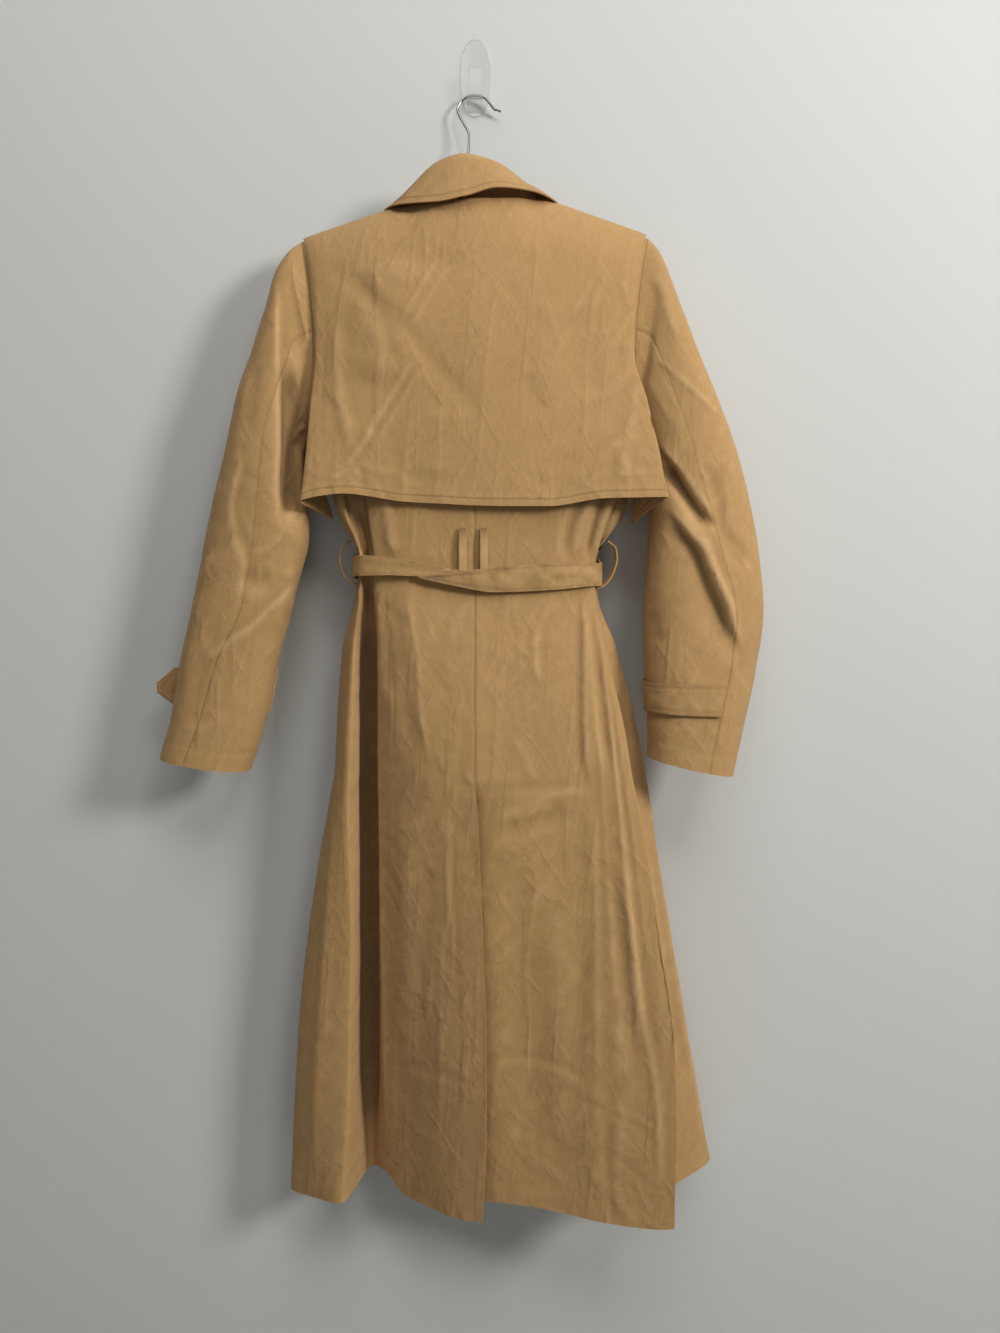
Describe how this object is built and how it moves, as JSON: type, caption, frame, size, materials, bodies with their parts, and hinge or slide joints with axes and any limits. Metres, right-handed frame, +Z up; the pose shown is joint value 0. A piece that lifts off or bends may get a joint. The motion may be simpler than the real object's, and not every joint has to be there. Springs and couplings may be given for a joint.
{
  "type": "trench coat on hanger and wall hook",
  "caption": "Long belted trench coat with a storm flap and a back vent, hung back outwards on a hanger from a clear wall hook.",
  "frame": {"origin": "centre of the wall hook's flat back, where it is stuck to the wall", "axes": "+Z up, +X to the right of someone who looks at the back of the coat, +Y into the wall"},
  "size_m": [0.7172, 0.16, 1.3924],
  "materials": {
    "twill": "matt cotton twill",
    "button": "brown, slightly glossy",
    "eyelet": "dark metal ring",
    "hanger": "dark plastic",
    "hook_wire": "bright steel wire",
    "clear_hook": "clear moulded plastic"
  },
  "bodies": {
    "root": {"back_left": "twill", "back_right": "twill", "front_right": "twill", "front_left": "twill", "storm_flap": "twill", "collar_fall": "twill", "collar_stand": "twill", "sleeve_left_top": "twill", "sleeve_left_under": "twill", "sleeve_right_top": "twill", "sleeve_right_under": "twill", "cuff_strap_left": "twill", "cuff_strap_right": "twill", "belt": "twill", "back_loop_left": "twill", "back_loop_right": "twill", "side_loop_left": "twill", "side_loop_right": "twill", "belt_knot": "twill", "lapel_left": "twill", "lapel_right": "twill", "button_1": "button", "button_2": "button", "button_3": "button", "button_4": "button", "eyelet": "eyelet", "hanger_arms": "hanger", "hanger_hook": "hook_wire", "wall_hook": "clear_hook"}
  },
  "joints": []
}
